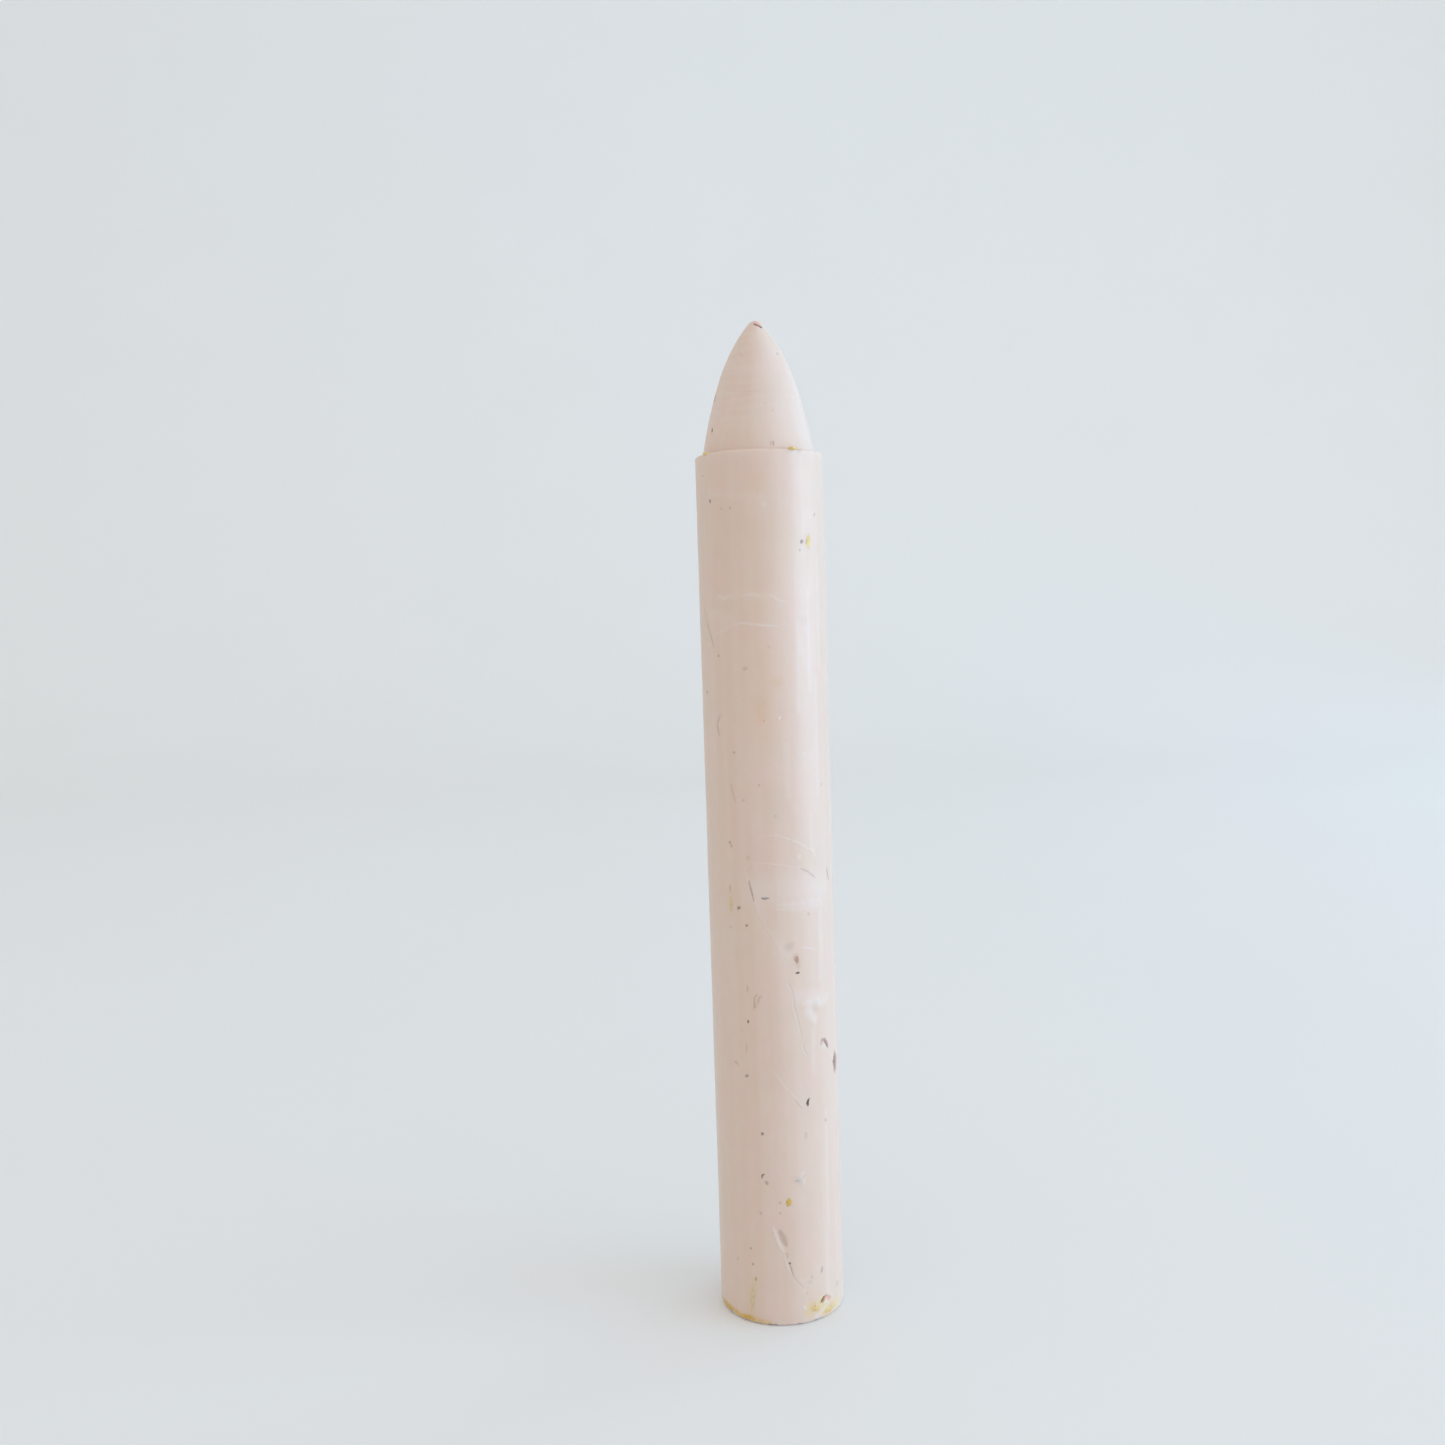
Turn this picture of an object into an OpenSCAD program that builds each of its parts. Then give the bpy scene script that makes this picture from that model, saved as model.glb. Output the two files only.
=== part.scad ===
// Chunky moulded wax crayon without a paper sleeve, standing on its flat base.
// One round casting steps in at a narrow shoulder and rises to a blunt ogive nose.
// Crumbs of other crayons' wax are pressed onto it in a few places.
//
// Z is the crayon's axis and the base lies at z = 0. Angles around the axis are
// counted from the front, -Y, towards +X.

/* [Barrel] */
// Diameter of the cylindrical barrel
barrel_d = 12; // [10:0.5:14]
// Height of the shoulder above the base
shoulder_h = 81.85; // [76:0.05:110]
// Radius of the edge around the flat base
base_edge_r = 0.25; // [0.1:0.05:0.4]
// Radius of the shoulder's outer edge
shoulder_edge_r = 0.15; // [0.1:0.05:0.35]

/* [Nose] */
// Width of the step between the barrel and the foot of the nose
ledge_w = 0.75; // [0.7:0.05:1.2]
// Radius of the fillet between the step and the nose
nose_fillet_r = 0.25; // [0.1:0.05:0.3]
// Lean of the nose's wall at its foot, in degrees from the axis
nose_foot_lean = 9; // [5:0.5:12]
// Radius of the long curve on the nose's lower part
lower_curve_r = 43; // [34:0.1:60]
// Height above the shoulder where the tighter upper curve takes over
curve_change_h = 7.5; // [6:0.1:8.5]
// Radius of the curve on the nose's upper part
upper_curve_r = 15; // [13:0.5:18]
// Radius of the blunt round tip
tip_r = 0.85; // [0.6:0.05:1.2]

/* [Crumbs] */
// Thickness of the yellow wax flakes
yellow_flake_t = 0.12; // [0.08:0.01:0.16]
// Thickness of the dark wax flakes
dark_flake_t = 0.06; // [0.04:0.01:0.1]

/* [Hidden] */
$fn = 96;

barrel_r = barrel_d / 2;
nose_foot_r = barrel_r - ledge_w;
// Slack that lets neighbouring regions of one profile run into each other
lap = 0.05;
// Radial depth of the prism that cuts a flake out of a thin tube
flake_prism_depth = 1;

// Lower curve of the nose, in radius and height above the shoulder
lower_x = nose_foot_r - lower_curve_r * cos(nose_foot_lean);
lower_z = -lower_curve_r * sin(nose_foot_lean);
// Lean and radius of the nose where the two curves meet
change_lean = asin((curve_change_h - lower_z) / lower_curve_r);
change_r = lower_x + lower_curve_r * cos(change_lean);
// Upper curve, tangent to the lower one
upper_x = change_r - upper_curve_r * cos(change_lean);
upper_z = curve_change_h - upper_curve_r * sin(change_lean);
// Tip ball, inside the upper curve and tangent to it
tip_z = upper_z + sqrt(pow(upper_curve_r - tip_r, 2) - pow(upper_x, 2));
tip_lean = asin((tip_z - upper_z) / (upper_curve_r - tip_r));
tip_join_h = upper_z + upper_curve_r * sin(tip_lean);
// Fillet circle, tangent to the step and to the lower curve
fillet_x = lower_x + sqrt(pow(lower_curve_r + nose_fillet_r, 2) - pow(nose_fillet_r - lower_z, 2));
fillet_lean = atan((nose_fillet_r - lower_z) / (fillet_x - lower_x));
fillet_join_h = nose_fillet_r * (1 - sin(fillet_lean));

// Flakes: angle, height of the middle, width around, height, lean of the flake
yellow_barrel_flakes = [
    [46, 73.5, 0.6, 1.15, -8],
    [8, 12, 0.55, 0.7, -15],
    [-39, 40.2, 0.4, 1.45, 0],
    [-28, 2.6, 0.35, 2.8, -6]
];
yellow_base_flakes = [
    [-63, 0.5, 3, 0.5, 0],
    [-35, 0.45, 1.6, 0.45, 0],
    [-20, 0.35, 1.3, 0.2, 0],
    [31, 1.3, 0.7, 0.65, 20],
    [47, 0.65, 1.2, 0.55, 0]
];
dark_flake_places = [
    [-5.5, 40.9, 0.6, 0.2, 0],
    [21.5, 35, 0.3, 0.85, 14],
    [22, 33.75, 0.4, 0.18, 0],
    [17, 14, 0.5, 0.3, 0],
    [29.5, 21.3, 0.3, 0.95, -12]
];
// Crumbs on the step: angle, distance in from the barrel's side, height above the step, ball radius
shoulder_crumbs = [
    [31, 0.14, 0, 0.27],
    [35.5, 0.25, 0.02, 0.17],
    [-55, 0.15, 0, 0.24]
];

module barrel_profile() {
    translate([0, base_edge_r])
        square([barrel_r, shoulder_h - base_edge_r - shoulder_edge_r]);
    square([barrel_r - base_edge_r, base_edge_r + lap]);
    translate([0, shoulder_h - shoulder_edge_r - lap])
        square([barrel_r - shoulder_edge_r, shoulder_edge_r + lap]);
    translate([barrel_r - base_edge_r, base_edge_r])
        circle(base_edge_r);
    translate([barrel_r - shoulder_edge_r, shoulder_h - shoulder_edge_r])
        circle(shoulder_edge_r);
}

module nose_profile() {
    // Lower curve
    intersection() {
        translate([0, -lap])
            square([nose_foot_r + ledge_w, curve_change_h + lap]);
        translate([lower_x, lower_z])
            circle(lower_curve_r);
    }
    // Upper curve
    intersection() {
        translate([0, curve_change_h - lap])
            square([nose_foot_r, tip_join_h - curve_change_h + lap]);
        translate([upper_x, upper_z])
            circle(upper_curve_r);
    }
    // Tip
    intersection() {
        translate([0, tip_join_h - lap])
            square([2 * tip_r, tip_r + lap]);
        translate([0, tip_z])
            circle(tip_r);
    }
    // Fillet at the foot
    difference() {
        translate([nose_foot_r - ledge_w, 0])
            square([fillet_x - nose_foot_r + ledge_w, fillet_join_h]);
        translate([fillet_x, nose_fillet_r])
            circle(nose_fillet_r);
    }
}

// Solid of the casting, without a colour so that the crumbs can be cut to its surface
module casting() {
    rotate_extrude() {
        barrel_profile();
        translate([0, shoulder_h])
            nose_profile();
    }
}

// Irregular flat outline, one unit wide and one unit high
module chip_outline() {
    polygon([
        [-0.5, -0.15], [-0.2, -0.5], [0.3, -0.42],
        [0.5, 0.05], [0.25, 0.5], [-0.3, 0.38]
    ]);
}

// Thin flake that lies on the barrel with its inner face on the barrel's surface
module flake(angle, height, width, tall, lean, thickness) {
    reach = width + tall;
    intersection() {
        translate([0, 0, height - reach])
            rotate_extrude()
                translate([barrel_r, 0])
                    square([thickness, 2 * reach]);
        rotate([0, 0, angle - 90])
            translate([barrel_r - flake_prism_depth, 0, height])
                rotate([90, 0, 90])
                    linear_extrude(2 * flake_prism_depth)
                        rotate(lean)
                            scale([width, tall])
                                chip_outline();
    }
}

module wax_stick() {
    color([0.87, 0.77, 0.70])
        casting();
}

module yellow_crumbs_shoulder() {
    color([0.88, 0.72, 0.30])
        for (c = shoulder_crumbs)
            difference() {
                rotate([0, 0, c[0] - 90])
                    translate([barrel_r - c[1], 0, shoulder_h + c[2]])
                        sphere(c[3]);
                casting();
            }
}

module yellow_flakes_barrel() {
    color([0.88, 0.72, 0.30])
        for (f = yellow_barrel_flakes)
            flake(f[0], f[1], f[2], f[3], f[4], yellow_flake_t);
}

module yellow_flakes_base() {
    color([0.88, 0.72, 0.30])
        for (f = yellow_base_flakes)
            flake(f[0], f[1], f[2], f[3], f[4], yellow_flake_t);
}

module dark_flakes() {
    color([0.30, 0.22, 0.22])
        for (f = dark_flake_places)
            flake(f[0], f[1], f[2], f[3], f[4], dark_flake_t);
}

wax_stick();
yellow_crumbs_shoulder();
yellow_flakes_barrel();
yellow_flakes_base();
dark_flakes();
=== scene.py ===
"""Looks of a chunky moulded wax crayon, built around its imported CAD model.

The wax stick is one closed mesh on the CAD profile. Its pits, creases, scratches and worn spots are real
relief, and the same marks write attributes that its material reads. The crumbs of other wax are small meshes
of their own. Angles run from the front (-Y) towards +X, in degrees; marks are given in millimetres.
"""
import math
from dataclasses import dataclass

import bmesh
import bpy
import numpy as np
from mathutils import Matrix, Vector


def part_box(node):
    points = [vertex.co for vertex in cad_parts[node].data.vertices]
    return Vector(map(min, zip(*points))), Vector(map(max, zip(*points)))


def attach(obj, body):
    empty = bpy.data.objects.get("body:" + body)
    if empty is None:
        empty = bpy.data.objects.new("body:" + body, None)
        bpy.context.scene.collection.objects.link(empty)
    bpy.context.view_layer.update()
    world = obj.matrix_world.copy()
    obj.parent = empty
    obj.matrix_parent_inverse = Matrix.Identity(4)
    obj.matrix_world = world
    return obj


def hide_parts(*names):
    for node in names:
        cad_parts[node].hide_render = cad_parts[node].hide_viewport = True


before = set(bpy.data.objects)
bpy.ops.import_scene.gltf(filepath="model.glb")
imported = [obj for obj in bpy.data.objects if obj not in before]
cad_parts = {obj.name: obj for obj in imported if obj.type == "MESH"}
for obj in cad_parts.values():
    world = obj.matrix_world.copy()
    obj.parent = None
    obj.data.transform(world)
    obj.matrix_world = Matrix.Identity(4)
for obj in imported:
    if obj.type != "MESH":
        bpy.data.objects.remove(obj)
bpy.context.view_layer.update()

MM = 0.001
BODY = "root"

# ---- dimensions, in millimetres
BARREL_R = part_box("wax_stick")[1].x / MM
SHOULDER_H = 81.85
BASE_EDGE_R = 0.25
SHOULDER_EDGE_R = 0.15
NOSE_FOOT_R = BARREL_R - 0.75
NOSE_FILLET_R = 0.25
NOSE_FOOT_LEAN = math.radians(9)
LOWER_CURVE_R = 43.0
CURVE_CHANGE_H = 7.5
UPPER_CURVE_R = 15.0
TIP_R = 0.85

# Mesh: columns round the axis, and the height of a row on the long runs, the small edges and the base
COLUMNS = 120
ROW = 0.32
FINE_ROW = 0.09
BASE_ROW = 0.5
# Cells are halved twice at marks narrower than FINE_WIDTH with clear edges, and once at the others.
# Flat marks wider than FILM_WIDTH need no finer cells.
SPLIT = 4
FINE_WIDTH = 0.7
BLURRED = 0.85
FILM_WIDTH = 1.2
MARK_MARGIN = 0.18


# ---- the profile
ARC_STEP = 0.02
MIN_ARC_STEPS = 4


def arc(centre, radius, start, end, outward=1.0):
    """Rows of (radius, height, and both parts of the normal) along an arc, angles in radians."""
    steps = max(MIN_ARC_STEPS, math.ceil(abs(end - start) * radius / ARC_STEP))
    turn = np.linspace(start, end, steps + 1)
    c, s = np.cos(turn), np.sin(turn)
    return np.column_stack([centre[0] + radius * c, centre[1] + radius * s, outward * c, outward * s])


def straight(start, end, normal):
    """Two rows in the same form along a straight line."""
    return np.array([[*start, *normal], [*end, *normal]], float)


def raised(point):
    """A point given from the shoulder, in the crayon's own heights."""
    return point[0], point[1] + SHOULDER_H


def stick_profile():
    """The profile from the middle of the base to the tip, as runs with the row height each one needs."""
    base = BARREL_R - BASE_EDGE_R
    rim = BARREL_R - SHOULDER_EDGE_R
    rim_h = SHOULDER_H - SHOULDER_EDGE_R
    lower = (NOSE_FOOT_R - LOWER_CURVE_R * math.cos(NOSE_FOOT_LEAN),
             -LOWER_CURVE_R * math.sin(NOSE_FOOT_LEAN))
    change_lean = math.asin((CURVE_CHANGE_H - lower[1]) / LOWER_CURVE_R)
    shift = LOWER_CURVE_R - UPPER_CURVE_R
    upper = (lower[0] + shift * math.cos(change_lean), lower[1] + shift * math.sin(change_lean))
    tip_h = upper[1] + math.sqrt((UPPER_CURVE_R - TIP_R) ** 2 - upper[0] ** 2)
    tip_lean = math.asin((tip_h - upper[1]) / (UPPER_CURVE_R - TIP_R))
    reach = LOWER_CURVE_R + NOSE_FILLET_R
    fillet_r = lower[0] + math.sqrt(reach ** 2 - (NOSE_FILLET_R - lower[1]) ** 2)
    fillet_lean = math.asin((NOSE_FILLET_R - lower[1]) / reach)
    fillet = raised((fillet_r, NOSE_FILLET_R))
    quarter = math.pi / 2
    return [
        (straight((0, 0), (base, 0), (0, -1)), BASE_ROW),
        (arc((base, BASE_EDGE_R), BASE_EDGE_R, -quarter, 0), FINE_ROW),
        (straight((BARREL_R, BASE_EDGE_R), (BARREL_R, rim_h), (1, 0)), ROW),
        (arc((rim, rim_h), SHOULDER_EDGE_R, 0, quarter), FINE_ROW),
        (straight((rim, SHOULDER_H), (fillet_r, SHOULDER_H), (0, 1)), FINE_ROW),
        (arc(fillet, NOSE_FILLET_R, 3 * quarter, math.pi + fillet_lean, -1.0), FINE_ROW),
        (arc(raised(lower), LOWER_CURVE_R, fillet_lean, change_lean), ROW),
        (arc(raised(upper), UPPER_CURVE_R, change_lean, tip_lean), ROW),
        (arc(raised((0, tip_h)), TIP_R, tip_lean, quarter), FINE_ROW),
    ]


def join_runs(runs):
    """Distance along the profile of every point, the points, and the distances of the mesh's rows."""
    dense = np.vstack([rows for rows, step in runs])
    along = np.concatenate([[0.0], np.cumsum(np.hypot(*np.diff(dense[:, :2], axis=0).T))])
    rows = [0.0]
    for points, step in runs:
        length = np.hypot(*np.diff(points[:, :2], axis=0).T).sum()
        count = max(2, round(length / step))
        rows += list(rows[-1] + length * np.arange(1, count + 1) / count)
    return along, dense, np.array(rows)


ALONG, PROFILE, ROWS = join_runs(stick_profile())
# Where runs join, the same point comes twice, and interpolation wants rising distances
ALONG += np.arange(len(ALONG)) * 1e-12
ABOVE_BASE = PROFILE[:, 1] > 1e-6


def along_at(height):
    """Distance along the profile of a height on the stick's side, in millimetres."""
    return float(np.interp(height, PROFILE[ABOVE_BASE, 1], ALONG[ABOVE_BASE]))


def radius_at(height):
    return float(np.interp(along_at(height), ALONG, PROFILE[:, 0]))


# Where the side begins and the base ends
SIDE_START = along_at(0.05) - BASE_EDGE_R


# ---- colours, linear
WAX_PINK = (0.72, 0.548, 0.466)
WAX_SAND = (0.70, 0.556, 0.456)
WAX_PALE = (0.76, 0.69, 0.65)
WAX_STREAK = (0.75, 0.645, 0.575)
WAX_PORE = (0.50, 0.37, 0.30)
# Painted shade for the hollows
WAX_HOLLOW_SHADE = (0.55, 0.38, 0.31)
SMEAR_BROWN = (0.44, 0.26, 0.09)
SMEAR_PALE = (0.80, 0.68, 0.46)
DARK_MOTTLE = (0.55, 0.42, 0.36)
PAPER_SHADE = (0.825, 0.845, 0.855)
PAPER_LIGHT = (0.84, 0.86, 0.87)
# Foreign matter rubbed into the wax, and the crumbs on it. The shade colour, and some others where they lie
# in creases, scoops and pits, are painted shade
COLOURS = {
    "umber": (0.10, 0.055, 0.04),
    "slate": (0.20, 0.19, 0.20),
    "mauve": (0.29, 0.16, 0.18),
    "rust": (0.46, 0.19, 0.12),
    "ochre": (0.66, 0.44, 0.22),
    "amber": (0.66, 0.45, 0.24),
    "pink": (0.80, 0.46, 0.40),
    "blue": (0.31, 0.28, 0.30),
    "green": (0.34, 0.40, 0.36),
    "shade": (0.42, 0.31, 0.25),
    "olive": (0.42, 0.31, 0.18),
    "yellow": (0.76, 0.58, 0.22),
    "honey": (0.72, 0.49, 0.19),
    "gold": (0.64, 0.41, 0.08),
    "straw": (0.71, 0.54, 0.33),
    "brick": (0.44, 0.27, 0.19),
    "sage": (0.50, 0.47, 0.43),
}


# ---- marks on the wax
@dataclass
class Mark:
    """A line of points: (angle, height) on the side, (x, y) on the base or (x, z) on the front."""

    points: list
    width: float
    where: str = "side"
    # Relief: a negative depth stands proud, and side 1 or -1 puts the rim on one side only
    depth: float = 0.0
    rim: float = 0.0
    side: int = 0
    # Stain, and in some creases, scoops and pits painted shade
    colour: str = ""
    amount: float = 0.0
    # How chalky and how burnished; in some glints, bumps, edges and the dent the pale is painted highlight
    pale: float = 0.0
    gloss: float = 0.0
    # Share of the width that fades, how uneven the outline is, and pointed ends
    soft: float = 0.4
    ragged: float = 0.25
    taper: bool = False
    seed: int = 0


MARKS = []


def mark(points, width, **look):
    MARKS.append(Mark(points, width, seed=len(MARKS), **look))


def speck(angle, height, size, amount=0.85, colour="umber", tall=0.0, lean=0.0, depth=0.02):
    """A grain or pinhole: round, or a short dash that is tall millimetres long and leans to the right."""
    run = math.degrees(math.sin(math.radians(lean)) * tall / 2 / radius_at(height))
    rise = math.cos(math.radians(lean)) * tall / 2
    ends = [(angle - run, height - rise), (angle + run, height + rise)] if tall else [(angle, height)]
    mark(ends, size, depth=depth, colour=colour, amount=amount, soft=0.6, ragged=0.35)


def specks(*rows):
    """Several specks, each as (angle, height, size) and as much of the rest as it needs."""
    for row in rows:
        speck(*row)


def cut(points, width, amount=0.5, depth=0.04, colour="umber", rim=0.0, side=0):
    """A fine cut, darker than the wax, that may have a raised lip."""
    mark(points, width, depth=depth, rim=rim, side=side, colour=colour, amount=amount, soft=0.6, taper=True)


def chalk(points, width, pale=0.5, depth=-0.015, ragged=0.25):
    """A fine pale line where the wax has been pushed up or rubbed."""
    mark(points, width, depth=depth, pale=pale, soft=0.7, ragged=ragged, taper=True)


def film(points, width, pale, depth=0.0, soft=1.0, ragged=0.25, **look):
    """A pale patch, chalky or burnished, and in some glints and bumps a painted highlight."""
    mark(points, width, pale=pale, depth=depth, soft=soft, ragged=ragged, **look)


def stain_and_shade(points, width, colour, amount, depth=0.0, soft=1.0, ragged=0.25, **look):
    """A patch of foreign colour, and in some scoops and pits painted shade, in a hollow if it has a depth."""
    mark(points, width, colour=colour, amount=amount, depth=depth, soft=soft, ragged=ragged, **look)


def pinholes_and_grains():
    specks((-60, 79.9, 0.2, 0.35), (-49.5, 77.5, 0.2, 0.75, "umber", 0.14, -20),
           (-36, 76.7, 0.2, 0.25, "mauve"), (-27, 76.7, 0.22, 0.35, "mauve"),
           (56, 76, 0.22, 0.35, "slate", 0.15, 40), (38, 73.5, 0.3, 0.85, "mauve", 0.12, 30),
           (35.5, 72.7, 0.2, 0.4, "mauve"), (-44.5, 63.3, 0.2, 0.5),
           (-17.5, 62.1, 0.34, 0.35, "shade", 0.15, 70), (4, 64, 0.24, 0.15, "mauve"),
           (-65, 59.9, 0.24, 0.6), (-2, 57.3, 0.16, 0.5, "rust"), (-30.5, 54.4, 0.2, 0.45),
           (-8, 51.4, 0.24, 0.2), (56, 51, 0.3, 0.18, "mauve"), (-22.5, 50, 0.2, 0.22),
           (5.5, 48.5, 0.26, 0.27, "green"), (-38, 46, 0.2, 0.6), (-36.5, 45.7, 0.3, 0.4, "rust"),
           (-20, 44.6, 0.32, 0.22, "shade"), (-30.5, 39.9, 0.24, 0.68, "umber", 0.12, 50),
           (-23, 38.3, 0.22, 0.7), (-40, 38, 0.2, 0.2), (34.5, 39.1, 0.24, 0.3, "rust"),
           (15.5, 36.3, 0.8, 0.16, "mauve", 0, 0, 0), (-84, 35, 0.4, 0.45))
    for line in ([(-11.5, 31.8), (-14, 31.4), (-14.8, 30.9)], [(-14, 31.9), (-17.5, 31.6), (-18.5, 30.4)],
                 [(-18, 31), (-16.5, 30.6)], [(-24, 32.6), (-24.2, 32)]):
        cut(line, 0.2, 0.4, 0.01, "olive")
    specks((-24.5, 29.2, 0.14, 0.95, "umber", 0.16), (-31, 28.3, 0.4, 0.3, "amber", 0, 0, 0))
    cut([(-27, 27), (-27.2, 26.2)], 0.16, 0.3, 0.01, "olive")
    cut([(-41, 25.2), (-38, 25.1), (-35.5, 24.9)], 0.2, 0.4, 0.01, "olive")
    specks((-27.5, 24, 0.26, 0.5, "umber", 0.12, 60), (49.5, 19.1, 0.28, 0.4, "slate"),
           (-14, 18.6, 0.2, 0.75, "umber", 0.1), (25.5, 18.2, 0.3, 0.15, "slate", 0.3))
    cut([(-13.5, 14.7), (-15.5, 14.6), (-15.7, 14.3)], 0.16, 0.8)
    specks((-13.8, 14.45, 0.16, 0.3, "straw"), (-11.5, 13.9, 0.26, 0.5, "slate", 0.15, -30),
           (22.5, 14.3, 0.2, 0.4, "green"), (0, 12, 0.2, 0.4, "mauve"), (0, 11, 0.2, 0.35, "mauve"),
           (-18, 10.9, 0.22, 0.25), (-28.5, 7.3, 0.2, 0.6, "mauve"), (-44, 5.9, 0.2, 0.3),
           (-27, 5.8, 0.2, 0.55), (-24.5, 4.4, 0.2, 0.8, "umber", 0.16), (7.3, 6.1, 0.2, 0.95),
           (39, 4.8, 0.2, 0.5, "slate", 0.36, 10), (61, 2.6, 0.4, 0.3, "slate"),
           (28, 4.4, 0.2, 0.35, "slate"))
    # Nose
    cut([(-61, 84.3), (-60, 83.9)], 0.2, 0.95)
    cut([(-76, 87.7), (-74, 86.8)], 0.26, 0.7)
    specks((9, 86.1, 0.18, 0.08), (17.5, 85.4, 0.18, 0.08), (12.8, 82.4, 0.13, 0.25, "umber", 0.25),
           (15.4, 82.4, 0.13, 0.4, "umber", 0.3), (49, 91, 0.26, 0.3, "mauve", 0, 0, 0.04))


def creases_and_scratches():
    # Long crease across the front: a dark cut that runs on as a pale ridge
    chalk([(-22.9, 44.1), (-22.6, 43.2), (-20.9, 42.4), (-17.5, 40.8)], 0.14, 0.34, -0.012)
    cut([(-19.8, 42.6), (-18.6, 41.9), (-17.2, 41.4), (-15.6, 40.6)], 0.12, 0.5, 0.03)
    chalk([(-15.6, 40.9), (-13, 40.1), (-10.5, 39.2)], 0.17, 0.5, -0.02)
    chalk([(-11, 39.4), (-5.5, 38.2), (1, 37.1), (5, 36.2), (8, 35.2)], 0.14, 0.32, -0.016)
    film([(1, 37.7)], 0.4, 0.25, -0.02)
    # Its second half, cracked, with a thin painted shadow along its right side
    for line in ([(11.5, 33), (16, 31.7)], [(16, 31.7), (16.6, 30.6), (20.5, 29), (23, 27.6)],
                 [(24, 27), (25, 26.3), (29.5, 25.7)]):
        chalk(line, 0.2, 0.34, -0.014, 0.8)
        cut([(angle + 1.2, height) for angle, height in line], 0.12, 0.22, 0.015, "shade")
    # Diagonal scratch lower down
    chalk([(-7, 25), (2, 23.9), (8, 22.95), (12, 22.5), (18.5, 21.6), (23, 20.9)], 0.13, 0.35)
    cut([(15.5, 21.9), (18.5, 21.4), (22.5, 20.8)], 0.12, 0.25, 0.015, "shade")
    # Fine cuts
    cut([(-68, 68.3), (-63, 67.2), (-57, 65.9)], 0.12, 0.2, 0.02, "brick")
    cut([(-61, 66.5), (-56, 65.5), (-53, 64.8), (-49.5, 64)], 0.15, 0.45, 0.04, "brick", 0.03, 1)
    chalk([(-60, 66.1), (-55, 65), (-51, 64)], 0.14, 0.3)
    cut([(-44, 58), (-46.2, 57.6), (-48, 57)], 0.13, 0.35, 0.02, "brick")
    cut([(-48, 57.4), (-48.5, 56.8), (-47.5, 56.3), (-46.5, 55.9)], 0.15, 0.55, 0.04, "brick", 0.03, 1)
    chalk([(-46.3, 57.2), (-46.4, 56.5)], 0.2, 0.3)
    cut([(-35, 51.6), (-33.4, 50.8), (-31.8, 50.3), (-30.5, 49.7)], 0.12, 0.3, 0.02, "brick")
    cut([(62, 43.1), (63, 42.5), (65.5, 41.7)], 0.15, 0.5, 0.03)
    cut([(-39.3, 42.1), (-39.6, 41.2)], 0.14, 0.4, colour="rust")
    # Two arcs of a fingernail
    chalk([(-18, 46.1), (-8, 46.6), (5, 46.75), (17, 46.3), (27, 45.8)], 0.18, 0.2, -0.012, 0.6)
    chalk([(14, 46.4), (27, 45.8), (36, 45.2), (44, 44.7)], 0.18, 0.22, -0.013, 0.9)
    chalk([(38, 45.3), (42, 44.8), (45, 44.3)], 0.34, 0.26, -0.015, 0.9)
    chalk([(-16.5, 44.1), (-4, 44.15), (9.5, 43.9), (23, 43.6), (30, 43.4)], 0.17, 0.26, -0.012, 0.6)
    cut([(27, 43.5), (33, 43.2), (38, 42.9)], 0.13, 0.3, 0.02, "umber", 0.015, -1)
    cut([(36, 43), (40, 42.7), (43.5, 42.4)], 0.13, 0.35, 0.02, "umber", 0.015, -1)
    # A pale blob that is a painted glint
    film([(26.5, 44.6)], 0.36, 0.4, -0.02, 0.9, 0.5)
    # Crossed wrinkles on the nose
    cut([(-52, 92.4), (-36, 91.2), (-24, 90.6)], 0.12, 0.12, 0.012, "shade", 0.01, 1)
    cut([(-30, 91.9), (-42, 91.2), (-52, 90.6)], 0.12, 0.1, 0.01, "shade")
    chalk([(-50, 92.1), (-34, 90.9)], 0.16, 0.25)


def gouge():
    """Fingernail gouge near the base: a scoop with a raised left lip that runs out as a fine crease."""
    # Painted shadow: the scoop's darker colour
    stain_and_shade([(-2, 9.3), (1, 8.55), (4.2, 7.8)], 0.52, "shade", 0.32, 0.1, ragged=0.15, taper=True)
    # The raised lip, pale partly as chalky wax and partly as painted highlight
    chalk([(-7.5, 9.8), (-5, 8.9), (-2, 8), (2, 7.2)], 0.28, 0.48, -0.04, 0.5)
    chalk([(2.5, 7), (3.5, 6.4), (6.3, 5.4), (11, 4.6)], 0.19, 0.3, -0.02, 0.5)
    cut([(4, 7.2), (5.2, 7), (5.4, 6.7), (4.4, 6.6)], 0.13, 0.25, 0.02)
    cut([(6.8, 6.2), (8.2, 5.6), (9.2, 5.2), (10.6, 4.8)], 0.13, 0.4, 0.03, "umber", 0.015, -1)
    cut([(9.6, 5), (12, 4.55), (15, 4.1), (20, 3.5)], 0.12, 0.22, 0.02, "shade", 0.02, 1)
    chalk([(10.5, 4.6), (14, 4), (19, 3.4), (24, 3)], 0.2, 0.25, -0.012, 0.8)
    grains = np.random.default_rng(5)
    for i in range(12):
        spot = (grains.uniform(14, 28), grains.uniform(3, 4.3))
        shaded = i % 3 == 0
        mark([spot], grains.uniform(0.14, 0.26), depth=-0.02, pale=0.3 * (not shaded), colour="shade",
             amount=0.25 * shaded, soft=0.7, ragged=0.5)
    chalk([(18.5, 1.9), (21.5, 1.3)], 0.2, 0.7, -0.03)


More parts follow.
